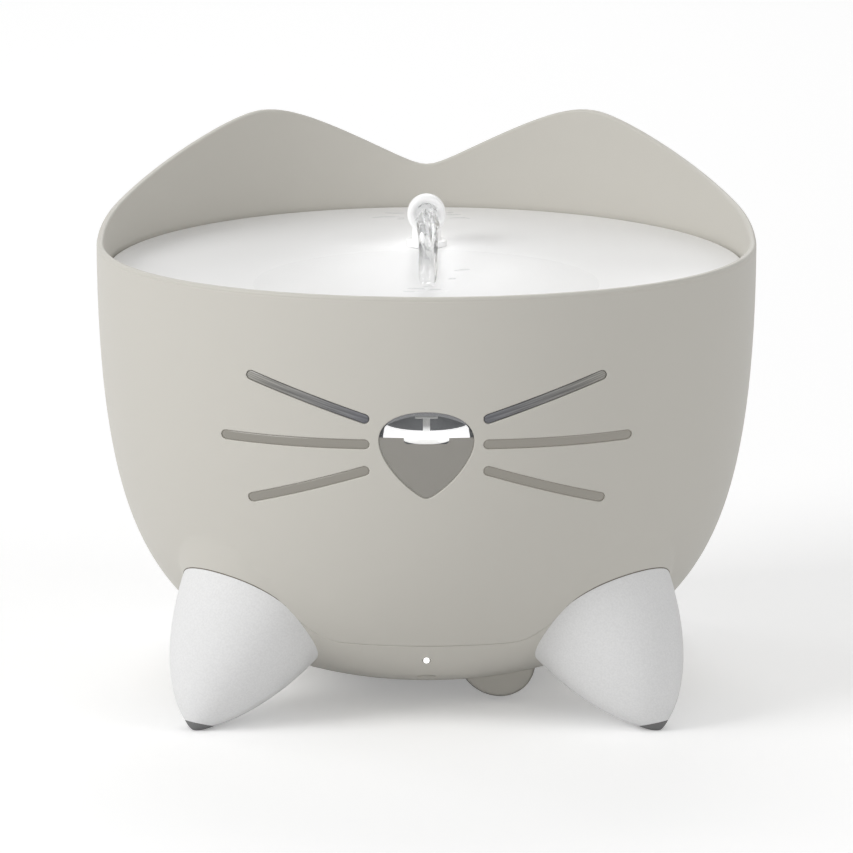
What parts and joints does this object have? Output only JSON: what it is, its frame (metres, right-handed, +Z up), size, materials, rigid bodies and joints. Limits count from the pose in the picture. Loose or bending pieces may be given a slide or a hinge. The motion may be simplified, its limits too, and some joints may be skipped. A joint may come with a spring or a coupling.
{
  "type": "pet water fountain",
  "caption": "Round pet water fountain: a bowl with ear-shaped rim crests on stubby legs, a lift-off dish with a spout, a face window, and a magnet-driven pump and filter inside.",
  "frame": {"origin": "on the floor, under the bowl's axis, midway between the feet", "axes": "+Z up, the face window and status light face -Y, +X is to the right when seen from the front"},
  "size_m": [0.24, 0.24, 0.1924],
  "materials": {
    "bowl_plastic": "fine matte taupe moulding",
    "dish_plastic": "smooth white satin moulding",
    "leg_plastic": "white moulding with a fine speckled texture",
    "inner_plastic": "plain off-white moulding",
    "clear_plastic": "clear polished moulding",
    "smoke_plastic": "dark grey moulding",
    "foot_rubber": "matte grey rubber",
    "seal_rubber": "soft dark silicone",
    "steel": "bright screws, shaft and laminations",
    "copper_wire": "enamelled wire",
    "board": "green solder resist",
    "black_plastic": "black moulding",
    "magnet": "sintered ferrite",
    "bush": "fine ground ceramic",
    "led": "lit white",
    "foam": "open-cell foam",
    "carbon": "bed of carbon granules"
  },
  "bodies": {
    "base_and_bowl": {"outer_shell": "bowl_plastic", "tank_floor": "bowl_plastic", "dish_ledge": "bowl_plastic", "window_seal": "seal_rubber", "window_lens": "clear_plastic", "float_guide": "smoke_plastic", "base_cover": "bowl_plastic", "base_seal": "seal_rubber", "leg_front_left": "leg_plastic", "leg_front_right": "leg_plastic", "leg_rear_left": "leg_plastic", "leg_rear_right": "leg_plastic", "foot_front_left": "foot_rubber", "foot_front_right": "foot_rubber", "foot_rear_left": "foot_rubber", "foot_rear_right": "foot_rubber", "leg_screws": "steel", "base_screws": "steel", "light_pipe": "clear_plastic", "indicator_led": "led", "light_board": "board", "control_board": "board", "board_parts": "black_plastic", "board_screws": "steel", "power_inlet": "steel", "inlet_tongue": "black_plastic", "inlet_board": "board", "stator_core": "steel", "stator_coils": "copper_wire", "shaft_bush_lower": "bush", "impeller_shaft": "steel"},
    "pump_unit": {"pump_housing": "inner_plastic", "pump_cover": "inner_plastic", "pump_screws": "steel", "shaft_bush_upper": "bush", "riser_tube": "inner_plastic", "riser_seal": "seal_rubber", "filter_housing": "inner_plastic", "riser_collar": "inner_plastic"},
    "filter_cartridge": {"filter_frame": "inner_plastic", "filter_foam": "foam", "filter_carbon": "carbon", "filter_lid": "inner_plastic"},
    "rotor": {"impeller": "inner_plastic", "impeller_magnet": "magnet"},
    "dish_unit": {"top_dish": "dish_plastic", "dish_ring": "foot_rubber"},
    "spout_unit": {"spout": "dish_plastic", "spout_seal": "seal_rubber"},
    "float_unit": {"level_float": "dish_plastic"}
  },
  "joints": [
    {"name": "dish_lift", "type": "slide", "parent": "base_and_bowl", "child": "dish_unit", "axis": [0, 0, 1], "range_m": [0, 0.45]},
    {"name": "spout_pull", "type": "slide", "parent": "dish_unit", "child": "spout_unit", "axis": [0, 0, 1], "range_m": [0, 0.04]},
    {"name": "pump_lift", "type": "slide", "parent": "base_and_bowl", "child": "pump_unit", "axis": [0, 0, 1], "range_m": [0, 0.27]},
    {"name": "filter_lift", "type": "slide", "parent": "pump_unit", "child": "filter_cartridge", "axis": [0, 0, 1], "range_m": [0, 0.045]},
    {"name": "impeller_spin", "type": "hinge", "parent": "base_and_bowl", "child": "rotor", "pos_m": [0, 0.026, 0], "axis": [0, 0, 1], "continuous": true},
    {"name": "float_slide", "type": "slide", "parent": "base_and_bowl", "child": "float_unit", "axis": [0, 0, -1], "range_m": [0, 0.016]}
  ],
  "couplings": [
    {"joint": "pump_lift", "follows": "dish_lift", "ratio": 0.6},
    {"joint": "filter_lift", "follows": "dish_lift", "ratio": 0.1}
  ]
}
